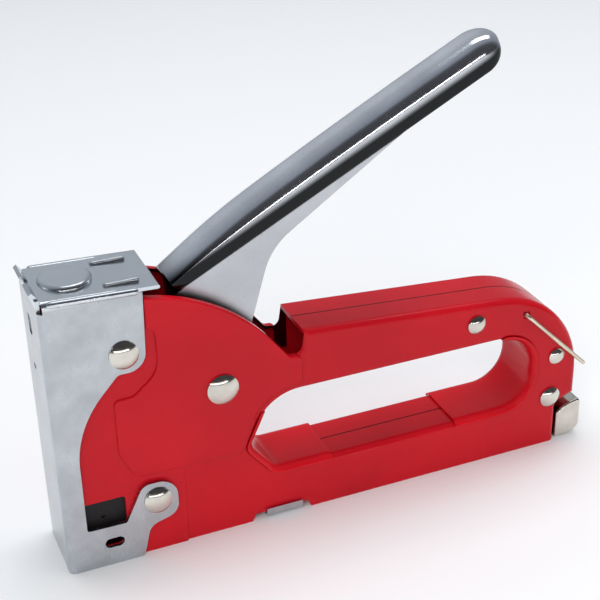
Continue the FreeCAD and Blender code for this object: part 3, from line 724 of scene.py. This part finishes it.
for name, shape in springShapes.items():
    makeSpring(shape, name)
print("springs made:", len(springShapes))


# floor, light and camera
floorLook = {
    "colour": (0.93, 0.93, 0.93),
    "radius": 3.0,
    "sides": 96,
    "roughness": 0.7,
    "sheen": 0.2,
    "mottleScale": 3.0,
}


def makeFloor(look):
    mesh = bpy.data.meshes.new("floor")
    work = bmesh.new()
    bmesh.ops.create_circle(work, cap_ends=True, segments=look["sides"], radius=look["radius"])
    work.to_mesh(mesh)
    work.free()
    floor = bpy.data.objects.new("floor", mesh)
    bpy.context.scene.collection.objects.link(floor)
    material, sheet = newMaterial("paleFloor", look["colour"])
    mottle = sheet.noise(sheet.place(), look["mottleScale"], 2.0)
    tone = sheet.blend(mottle, shade(look["colour"], 0.99), shade(look["colour"], 1.01))
    finishMaterial(sheet, {
        "Base Color": tone,
        "Roughness": look["roughness"],
        "Specular IOR Level": look["sheen"],
    })
    mesh.materials.append(material)


skyLook = {
    "seen": (0.93, 0.93, 0.94),
    "strength": 0.75,
    "behind": 0.85,
    "above": 0.53,
    # brightness from low in front to overhead and behind
    "stops": [
        (0.0, (0.06, 0.06, 0.065)),
        (0.42, (0.09, 0.09, 0.10)),
        (0.50, (0.15, 0.16, 0.18)),
        (0.58, (0.31, 0.34, 0.39)),
        (0.80, (0.42, 0.46, 0.52)),
        (0.94, (0.52, 0.56, 0.61)),
        (1.0, (0.66, 0.70, 0.76)),
    ],
}


def makeSky(look):
    world = bpy.data.worlds.new("studio")
    world.use_nodes = True
    bpy.context.scene.world = world
    sheet = Sheet(world.node_tree)
    y, z = sheet.parts(sheet.node("ShaderNodeTexCoord", output="Generated"))[1:]
    height = (y * look["behind"] + z * look["above"]) * 0.5 + 0.5
    glow = sheet.node("ShaderNodeValToRGB", {"stops": look["stops"]}, {0: height})
    seen = sheet.node("ShaderNodeLightPath", output="Is Camera Ray")
    tone = sheet.blend(seen, glow, (*look["seen"], 1.0))
    light = sheet.node("ShaderNodeBackground", {}, {"Color": tone, "Strength": look["strength"]})
    sheet.node("ShaderNodeOutputWorld", {}, {"Surface": light})


# mirrored lamps show in the metal; the others only light the surfaces
lamps = {
    "key": {
        "at": (-0.45, -0.85, 0.80), "size": (0.7, 0.6), "power": 6.4,
        "colour": (1.0, 1.0, 1.0), "mirrored": False,
    },
    "fill": {
        "at": (0.90, -0.60, 0.60), "size": (0.8, 0.6), "power": 2.9,
        "colour": (1.0, 1.0, 1.0), "mirrored": False,
    },
    "top": {
        "at": (0.05, 0.30, 1.20), "size": (1.2, 0.8), "power": 6.6,
        "colour": (0.98, 0.99, 1.0), "mirrored": False,
    },
    "strip": {
        "at": (0.0, -1.30, 0.17), "size": (1.7, 0.05), "power": 2.3,
        "colour": (1.0, 1.0, 1.0), "mirrored": True,
    },
    "overhead": {
        "at": (0.36, 0.13, 1.05), "size": (0.8, 0.30), "power": 2.0,
        "colour": (1.0, 1.0, 1.0), "mirrored": True,
    },
}


def makeLamps(looks, aim):
    for name, look in looks.items():
        data = bpy.data.lights.new(name, "AREA")
        data.shape = "RECTANGLE"
        data.size, data.size_y = look["size"]
        data.energy = look["power"]
        data.color = look["colour"]
        lamp = bpy.data.objects.new(name, data)
        outward = (Vector(look["at"]) - aim).normalized()
        across = (Vector((1, 0, 0)) - outward * outward.x).normalized()
        lamp.matrix_world = Matrix((across, outward.cross(across), outward)).transposed().to_4x4()
        lamp.location = look["at"]
        lamp.visible_glossy = look["mirrored"]
        bpy.context.scene.collection.objects.link(lamp)


cameraLook = {
    "at": (-0.048191, -0.296584, 0.234737),
    "right": (0.9216, -0.3877, -0.0200),
    "up": (0.2001, 0.4303, 0.8803),
    "lens": 80.4,
    "sensor": 36.0,
    "clip": (0.01, 20.0),
}


def makeCamera(look):
    right = Vector(look["right"]).normalized()
    up = Vector(look["up"])
    up = (up - right * up.dot(right)).normalized()
    back = right.cross(up)
    data = bpy.data.cameras.new("camera")
    data.lens = look["lens"]
    data.sensor_width = look["sensor"]
    data.clip_start, data.clip_end = look["clip"]
    camera = bpy.data.objects.new("camera", data)
    turned = Matrix((right, up, back)).transposed().to_4x4()
    camera.matrix_world = Matrix.Translation(look["at"]) @ turned
    bpy.context.scene.collection.objects.link(camera)
    bpy.context.scene.camera = camera


makeFloor(floorLook)
makeSky(skyLook)
makeLamps(lamps, (cadBox[0] + cadBox[1]) / 2)
makeCamera(cameraLook)
bpy.context.scene.view_settings.view_transform = "Standard"
print("floor, light and camera made")
